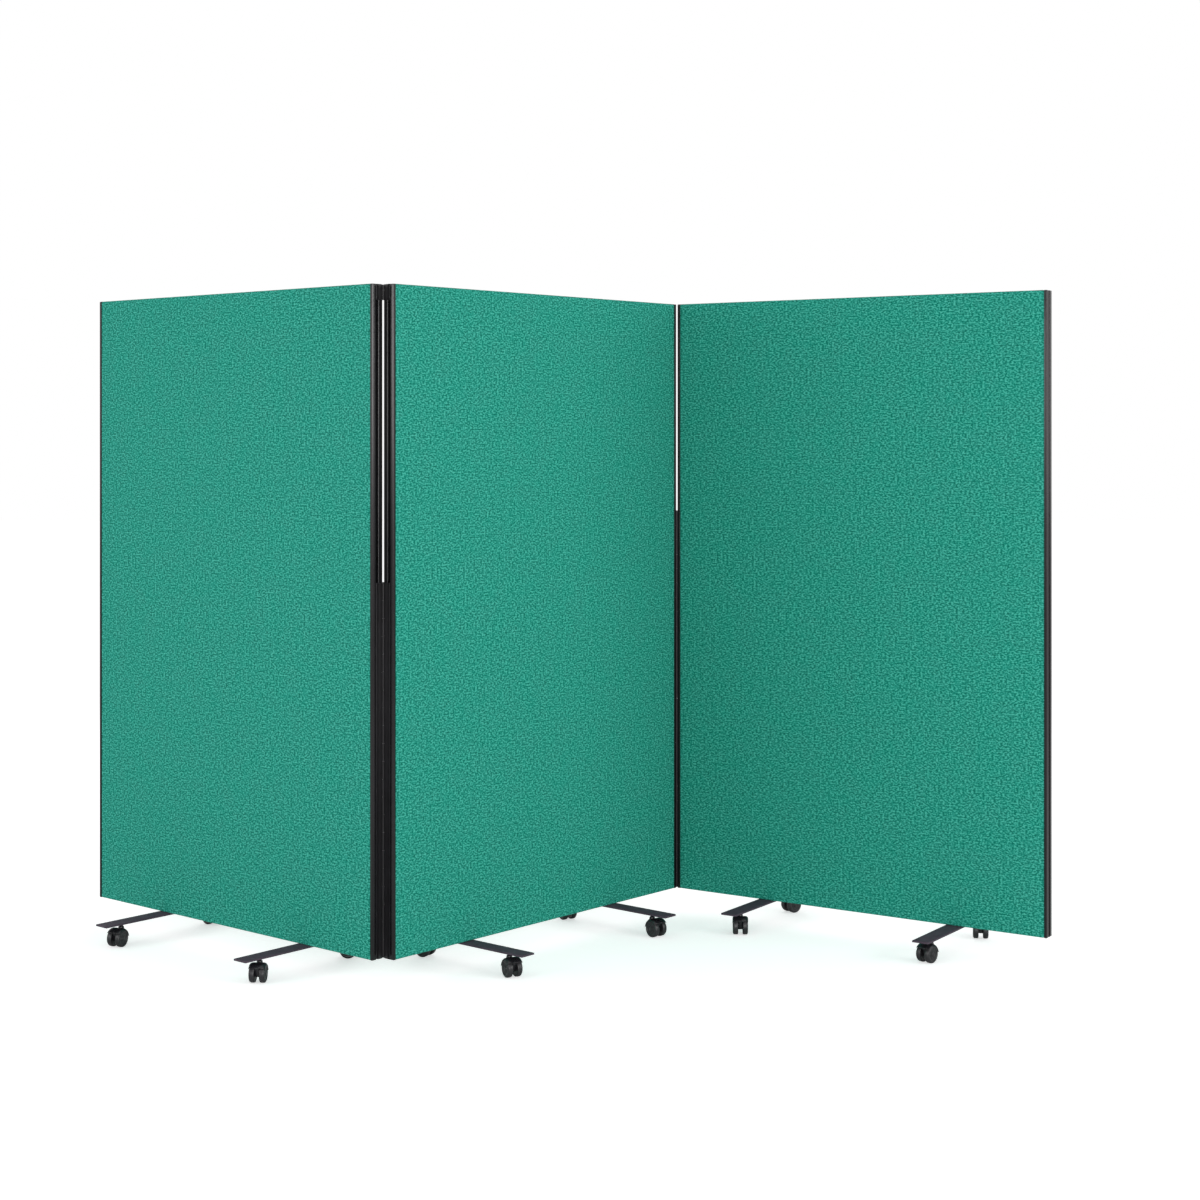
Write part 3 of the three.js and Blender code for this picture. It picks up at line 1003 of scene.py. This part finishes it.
@dataclass
class TwinWheelCastor:
    """A swivelling castor: a hood over two wheels, a web between them and a neck on the stem.

    The stem's axis is X = 0, Y = 0 and the axle lies a trail's length towards +X.
    """

    trail: float = 18.0
    wheel: float = 24.37
    axle_height: float = 24.373
    inner: float = 6.5
    outer: float = 22.5
    well: float = 26.5
    hood: float = 28.7
    lining: float = 0.3  # the hood's inside lies this far out of the well
    inside: float = 0.985  # the hood's inside is this share as wide as its outside
    crown: float = 4.2
    rounding: int = 8
    parting: float = 0.35
    tip: float = 0.12  # the first angle of the hood's pointed ends, in radians
    tip_rows: int = 5
    arc_rows: int = 38
    web: float = 12.0
    web_edge: float = 0.9
    web_inset: float = 2.0  # from both ends of the hood's arc, in degrees
    boss: float = 10.0
    boss_arc: tuple = (215.0, 325.0)
    axle: float = 3.0
    neck: float = 8.0
    neck_top: float = 54.23
    bore: float = 3.8
    back: float = 40.0
    front: float = 174.0

    # Places across the hood as shares of its half width
    ACROSS: ClassVar[tuple] = (0.018, 0.2, 0.5, 0.75, 0.88, 0.95, 0.985, 1.0)
    # The neck's outline as (radius, height) steps: from the neck's radius at the axle's height and at
    # the neck's top, and from the bore's radius at the neck's top
    ROOT: ClassVar[tuple] = ((-7.0, 6.0), (3.5, 14.0))
    FLARE: ClassVar[tuple] = (
        (4.2, -9.5), (2.6, -8.2), (1.3, -7.0), (0.5, -5.4), (0.1, -3.6), (0.0, -1.0), (-0.25, -0.35),
        (-0.9, 0.0),
    )
    BORE: ClassVar[tuple] = ((0.6, 0.0), (0.0, -0.6), (0.0, -10.0), (-3.0, -12.0))
    # A wheel's outline as (radius, height) steps: from the axis at the outer face, from the tread at
    # the outer and at the inner face, and from the axis and the axle at the inner face
    FACE: ClassVar[tuple] = (
        (0.8, 0.0), (3.0, -0.1), (5.2, -0.5), (6.6, -1.2), (7.0, -2.2), (7.4, -2.4), (8.6, -2.3),
        (9.2, -1.7), (10.8, -1.6), (11.2, -2.4), (16.2, -2.2), (16.9, -1.0), (17.6, -0.6),
        (19.6, -0.5), (21.2, -0.9),
    )
    OUTER_SHOULDER: ClassVar[tuple] = ((-1.9, -1.6), (-0.8, -2.6), (-0.2, -4.0), (0.0, -6.2))
    INNER_SHOULDER: ClassVar[tuple] = (
        (0.0, 4.5), (-0.25, 2.0), (-1.0, 0.7), (-2.2, 0.2), (-4.0, 0.0), (-6.0, 1.0),
    )
    RECESS: ClassVar[tuple] = ((9.0, 1.0), (8.0, 0.0))
    HUB: ClassVar[tuple] = ((0.8, 0.0), (0.0, 0.0))

    def hood_skin(self) -> Skin:
        """The hood: a thin crowned band carried on an arc round the axle.

        Across the band both faces drop by crown x (y / half width)^8, which rounds its shoulders, and
        the outer one has a fine parting groove in its middle. At both ends of the arc the band's
        thickness falls to a point on a quarter circle.

        Returns:
            The skin in the castor's frame.
        """
        half_across = np.array(self.ACROSS)
        across = np.concatenate([-half_across[::-1], [0.0], half_across])
        drop = self.crown * np.abs(across) ** self.rounding + self.parting * (across == 0)
        top = np.stack([self.hood - drop, across * self.outer], -1)
        back = across[::-2]
        height = self.well + self.lining - self.crown * np.abs(back) ** self.rounding
        under = np.stack([height, self.inside * back * self.outer], -1)
        ring = np.concatenate([top, under])
        middle = (self.hood + self.well) / 2
        tip = np.degrees((self.hood - self.well) / 2 / middle)
        ease = np.sin(np.linspace(self.tip, math.pi / 2, self.tip_rows))
        run = tip * (1 - np.sqrt(1 - ease**2))
        between = np.linspace(self.back + tip, self.front - tip, self.arc_rows + 2)[1:-1]
        degrees = np.concatenate([self.back + run, between, self.front - run[::-1]])
        thick = np.concatenate([ease, np.ones_like(between), ease[::-1]])
        radius = middle + (ring[:, 0] - middle) * thick[:, None]
        angle = np.radians(degrees)[:, None]
        return sheet_of(np.stack([
            self.trail + radius * np.cos(angle),
            np.broadcast_to(ring[:, 1], radius.shape),
            self.axle_height + radius * np.sin(angle),
        ], -1))

    def web_skin(self) -> Skin:
        """The web between the wheels: the hood's arc joined to a boss round the axle.

        Its outline is pulled to the web's thickness with rounded edges, then stood up, so that its
        drawing plane is the castor's side view.

        Returns:
            The skin in the castor's frame.
        """
        radius = (self.hood + self.well) / 2
        ring = np.concatenate([
            arc((0, 0), radius, self.back + self.web_inset, self.front - self.web_inset, steps=40),
            arc((0, 0), self.boss, *self.boss_arc, steps=12),
        ])
        skin = sheet_of(softened(ring, -self.web / 2, self.web / 2, self.web_edge))
        x, y, z = skin.points.T
        return skin.on(np.stack([x + self.trail, -z, y + self.axle_height], -1))

    def neck_skin(self) -> Skin:
        """The neck: a flared foot on the hood, a straight collar with a rounded rim, and the bore."""
        profile = np.concatenate([
            shifted(self.ROOT, self.neck, self.axle_height),
            shifted(self.FLARE, self.neck, self.neck_top),
            shifted(self.BORE, self.bore, self.neck_top),
        ])
        return sheet_of(turned(profile, steps=40))

    def housing(self) -> Skin:
        """The whole housing in the castor's frame."""
        return joined([self.hood_skin(), self.web_skin(), self.neck_skin()])

    def wheels(self) -> Skin:
        """Both wheels and the axle: one profile turned about the axle.

        From the hub out, each outer face has a domed cap, a ring step, a recessed disc and a raised
        rim; the tread is slightly crowned with rounded shoulders, and the inner face is recessed.

        Returns:
            The skin in the castor's frame.
        """
        side = np.concatenate([
            shifted(self.FACE, 0.0, self.outer),
            shifted(self.OUTER_SHOULDER, self.wheel, self.outer),
            shifted(self.INNER_SHOULDER, self.wheel, self.inner),
            shifted(self.RECESS, 0.0, self.inner),
            shifted(self.HUB, self.axle, self.inner),
        ])
        skin = sheet_of(turned(np.concatenate([side * [1, -1], side[::-1]]), steps=64))
        x, y, z = skin.points.T
        return skin.on(np.stack([x + self.trail, z, -y + self.axle_height], -1))

    def dress(self, panel: str, side: Side, end: End) -> None:
        """Builds one castor on its own two bodies, at the swivel's place and towards the axle.

        Args:
            panel: the panel's name.
            side: the foot's side.
            end: the foot's end.
        """
        key = f"{panel}_{side.word}_{end.word}"
        node = f"{panel}_castor_{side.word}_{end.word}"
        stem, axle = joint_point(f"swivel_{key}"), joint_point(f"roll_{key}")
        heading = math.atan2(axle[1] - stem[1], axle[0] - stem[0])
        place = Place(np.array([stem[0], stem[1], 0.0]), about_z(heading))
        skin = self.housing().placed(place)
        hood = build(f"{node}_hood_and_neck", skin, NYLON, node)
        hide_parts(f"{node}_housing")
        skin = self.wheels().placed(place)
        pair = build(f"{node}_twin_wheels", skin, WHEEL_NYLON, f"{node}_wheels")
        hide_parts(f"{node}_wheels")


@dataclass
class KnuckleHinge:
    """A hinge of two leaves on one pin.

    The pin's axis is Z, and a leaf's panel lies at +X with its face on Y = 0.
    """

    height: float
    knuckles: int
    head_height: float
    half_gap: float = 2.0
    plate: float = 1.4
    plate_start: float = 3.6
    barrel: float = 2.4
    barrel_bevel: float = 0.4
    play: float = 0.3
    half_panel: float = 19.0
    tongue: float = 3.7
    tongue_depth: float = 4.2
    channel: float = 4.2
    channel_wall: float = 1.2
    strap: float = 4.2
    pin: float = 1.6
    fit: float = 0.15
    seam: float = 0.1
    head: float = 2.8
    screw_margin: float = 8.0
    screw_sink: float = 0.25

    LOW_HEAD: ClassVar[float] = 1.4
    TALL_HEAD: ClassVar[float] = 3.4  # fills the gap up to the hinge above
    # One screw, and one knuckle of each leaf, for this much of a long hinge
    PITCH: ClassVar[float] = 100.0
    # The pin's head as (radius, height) steps from its own radius: at its seat and at its top
    HEAD_SEAT: ClassVar[tuple] = ((-0.2, 0.0), (0.0, 0.2))
    HEAD_TOP: ClassVar[tuple] = ((0.0, -0.8), (-0.5, -0.3), (-1.3, 0.0))

    def leaf(self, carries_ends: bool) -> Skin:
        """A leaf: its plan pulled up with rounded edges, plus its knuckles and screws.

        The plan is a plate whose far end dips into the trim's groove, so that a channel is left there
        for the screws.

        Args:
            carries_ends: whether it has the two end knuckles or only those between them.

        Returns:
            The skin in the hinge's frame.
        """
        outer = self.half_gap - self.play
        inner = outer - self.plate
        deep = self.half_gap + self.tongue_depth
        middle = -self.half_panel
        near, far = middle + self.tongue, middle - self.tongue
        wall = near - self.channel_wall
        plan = np.array([
            (inner, -self.plate_start), (inner, wall), (self.channel, wall), (self.channel, far),
            (deep, far), (deep, near), (outer, near), (outer, -self.plate_start),
        ])
        skins = [sheet_of(softened(plan, -self.height / 2, self.height / 2, edge=0.35, steps=2))]
        strap = np.array([(inner, -self.strap), (outer, -self.strap), (outer, 0.0), (inner, -1.0)])
        step = (self.height - (self.knuckles - 1) * self.play) / self.knuckles
        for index in range(0 if carries_ends else 1, self.knuckles, 2):
            low = index * (step + self.play) - self.height / 2
            high = low + step
            skins.append(self.knuckle(low, high))
            grid = softened(strap, low + self.seam, high - self.seam, edge=0.2, steps=2)
            skins.append(sheet_of(grid))
        screw = ScrewHead(radius=2.9, height=0.5, socket=0.9).skin()
        x, y, z = screw.points.T
        reach = self.height / 2 - self.screw_margin
        for level in np.linspace(-reach, reach, max(2, round(self.height / self.PITCH))):
            sunk = self.channel - z + self.screw_sink
            skins.append(screw.on(np.stack([sunk, middle + x, level - y], -1)))
        return joined(skins)

    def knuckle(self, low: float, high: float) -> Skin:
        """A knuckle: a tube round the pin with bevelled ends, as one closed profile turned about Z.

        Args:
            low: its lower end.
            high: its upper end.

        Returns:
            The skin in the hinge's frame.
        """
        bore, radius, bevel = self.pin + self.fit, self.barrel, self.barrel_bevel
        seam = (bore, high - self.seam)
        profile = np.array([
            seam, (bore, low), (radius - bevel, low), (radius, low + bevel), (radius, high - bevel),
            (radius - bevel, high), (bore, high), seam,
        ])
        return sheet_of(turned(profile, steps=28), caps=False)

    def pin_skin(self) -> Skin:
        """The pin, with a bevelled lower end and a rounded head on the upper knuckle.

        Returns:
            The skin in the hinge's frame.
        """
        half = self.height / 2
        seat = half + self.play
        profile = np.concatenate([
            [(self.pin - 0.5, -half), (self.pin, -half + 0.5), (self.pin, seat)],
            shifted(self.HEAD_SEAT, self.head, seat),
            shifted(self.HEAD_TOP, self.head, seat + self.head_height),
        ])
        return sheet_of(turned(profile, steps=28))

    @classmethod
    def at(cls, side: Side, level: str) -> "KnuckleHinge":
        """A hinge as high as its solid, with knuckles of about 50 mm where it is long.

        Where a second hinge stands over it, its pin's head is tall enough to fill the gap between them.

        Args:
            side: the fold's side.
            level: top or bottom.

        Returns:
            The hinge.
        """
        low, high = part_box(f"{side.word}_hinge_{level}_inner_leaf")
        height = (high.z - low.z) / MM
        knuckles = max(3, 2 * round(height / cls.PITCH) + 1)
        under = (side, level) == (Side.RIGHT, "bottom")
        return cls(height, knuckles, cls.TALL_HEAD if under else cls.LOW_HEAD)

    def dress(self, side: Side, level: str, turns: dict) -> None:
        """Builds one hinge of a fold.

        Args:
            side: the fold's side.
            level: top or bottom.
            turns: each panel's turn.
        """
        fold = joint_point(f"fold_{side.word}")
        low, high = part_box(f"{side.word}_hinge_{level}_inner_leaf")
        origin = np.array([fold[0], fold[1], (low.z + high.z) / 2])
        own = HALF_TURN_Y if side is Side.LEFT else HALF_TURN_X
        rooted = np.eye(3) if side is Side.LEFT else HALF_TURN_Z
        name = f"{side.word}_hinge_{level}"
        body = f"{side.word}_panel"
        inner = Place(origin, turns["middle_panel"] @ rooted)
        outer = Place(origin, turns[body] @ own)
        skin = self.leaf(True).placed(inner)
        obj = build(f"{name}_end_knuckle_leaf", skin, PAINTED, "middle_panel")
        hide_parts(f"{name}_inner_leaf")
        skin = self.leaf(False).placed(outer)
        obj = build(f"{name}_middle_knuckle_leaf", skin, PAINTED, body)
        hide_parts(f"{name}_outer_leaf")
        skin = self.pin_skin().placed(inner)
        obj = build(f"{name}_headed_pin", skin, PAINTED, "middle_panel")
        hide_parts(f"{name}_pin")


@dataclass
class Panel:
    """One covered panel with its trims, feet and castors."""

    name: str
    cover: PanelCover = field(default_factory=PanelCover)
    trim: EdgeTrim = field(default_factory=EdgeTrim)
    foot: CrossFoot = field(default_factory=CrossFoot)
    castor: TwinWheelCastor = field(default_factory=TwinWheelCastor)

    def turn(self) -> np.ndarray:
        """Reads the panel's turn from the line between a foot's two stems, which lies square to it.

        Returns:
            The turn, as 3 x 3.
        """
        front = joint_point(f"swivel_{self.name}_left_front")
        rear = joint_point(f"swivel_{self.name}_left_rear")
        return about_z(math.atan2(front[0] - rear[0], rear[1] - front[1]))

    def dress(self) -> None:
        """Builds all that shows of the panel and finishes its hidden frame and board."""
        low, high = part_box(f"{self.name}_core")
        place = Place(np.array([(low.x + high.x) / 2, (low.y + high.y) / 2, 0.0]), self.turn())
        trim_low, trim_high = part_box(f"{self.name}_trim_left")
        bottom, top = trim_low.z / MM, trim_high.z / MM
        _, bar_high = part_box(f"{self.name}_foot_left")
        underside = bar_high.z / MM - self.foot.thickness
        self.cover.dress(self.name, place, bottom)
        for side in Side:
            self.trim.dress(self.name, side, place, bottom, top)
            self.foot.dress(self.name, side, place.turn, underside)
            for end in End:
                self.castor.dress(self.name, side, end)
        for part, finish in (("frame", PINE), ("core", HONEYCOMB)):
            node = frame["nodes"][f"{self.name}_{part}"]
            node.data.materials.clear()
            node.data.materials.append(finish.material())


# Studio


@dataclass(frozen=True)
class Softbox:
    """A rectangular upright lamp: its place, the point on the plan that it faces, and its size."""

    name: str
    at: tuple
    aim: tuple
    size: tuple
    watts: float

    def dress(self) -> None:
        """Hangs the lamp."""
        data = bpy.data.lights.new(self.name, "AREA")
        data.shape = "RECTANGLE"
        data.size, data.size_y = self.size
        data.energy = self.watts
        obj = linked(self.name, data)
        obj.location = self.at
        heading = math.atan2(self.at[0] - self.aim[0], self.aim[1] - self.at[1])
        obj.rotation_euler = (math.pi / 2, 0.0, heading)


SOFTBOXES = (
    Softbox("left softbox", at=(-4.9, -2.5, 2.0), aim=(-0.4, -0.5), size=(2.8, 1.2), watts=49.0),
    Softbox("right softbox", at=(4.9, -2.5, 2.0), aim=(-0.4, -0.5), size=(2.8, 1.2), watts=77.0),
    Softbox("front softbox", at=(0.6, -7.4, 1.5), aim=(0.4, 0.0), size=(5.0, 1.6), watts=194.0),
    Softbox("rear softbox", at=(0.0, 5.5, 3.0), aim=(0.0, 0.0), size=(4.0, 2.0), watts=85.0),
)


@dataclass
class Studio:
    """The camera, the white surround, the floor and the lamps."""

    camera_at: tuple = (0.1266, -6.1298, 1.4662)
    lens: float = 63.785
    sensor: float = 36.0
    shift: float = -0.13774
    far: float = 200.0
    surround: float = 0.58
    floor_reach: float = 30.0

    def camera(self) -> None:
        """Sets up a level camera that looks along +Y, with its frame moved down."""
        data = bpy.data.cameras.new("camera")
        data.lens = self.lens
        data.sensor_width = self.sensor
        data.shift_y = self.shift
        data.clip_end = self.far
        obj = linked("camera", data)
        obj.location = self.camera_at
        obj.rotation_euler = (math.pi / 2, 0.0, 0.0)
        bpy.context.scene.camera = obj

    def world(self) -> None:
        """Lights the scene with a soft grey all round that the camera, gloss and glass see as white."""
        world = bpy.data.worlds.new("studio")
        bpy.context.scene.world = world
        world.use_nodes = True
        tree = world.node_tree
        tree.nodes.clear()
        path = add_node(tree, "ShaderNodeLightPath", {}, {}, {})
        seen = (path, "Is Camera Ray")
        for ray in ("Is Glossy Ray", "Is Transmission Ray"):
            links = {0: seen, 1: (path, ray)}
            seen = (add_node(tree, "ShaderNodeMath", {"operation": "MAXIMUM"}, {}, links), 0)
        strength = add_node(
            tree, "ShaderNodeMapRange", {}, {"To Min": self.surround, "To Max": 1.0}, {"Value": seen}
        )
        light = add_node(
            tree, "ShaderNodeBackground", {}, {"Color": (1.0, 1.0, 1.0, 1.0)},
            {"Strength": (strength, 0)},
        )
        add_node(tree, "ShaderNodeOutputWorld", {}, {}, {"Surface": (light, 0)})

    def floor(self) -> None:
        """Lays a plain pale floor that reads white and keeps the screen's soft shadow."""
        span = [-self.floor_reach, self.floor_reach]
        grid = np.stack([*np.meshgrid(span, span), np.zeros((2, 2))], -1)
        skin = sheet_of(grid, closed=False, caps=False)
        mesh = bpy.data.meshes.new("floor")
        mesh.from_pydata(skin.points.tolist(), [], skin.faces)
        mesh.materials.append(WHITE_FLOOR.material())
        obj = linked("floor", mesh)

    def dress(self) -> None:
        """Sets up the whole studio."""
        self.camera()
        self.world()
        self.floor()
        for softbox in SOFTBOXES:
            softbox.dress()
        bpy.context.scene.view_settings.view_transform = "Standard"


def main() -> None:
    """Builds the screen, then the studio."""
    logging.basicConfig(level=logging.INFO, format="%(name)s: %(message)s")
    panels = [Panel(name) for name in ("left_panel", "middle_panel", "right_panel")]
    for panel in panels:
        panel.dress()
    turns = {panel.name: panel.turn() for panel in panels}
    for side, level in HINGES:
        KnuckleHinge.at(side, level).dress(side, level, turns)
    Studio().dress()


if __name__ == "__main__":
    main()
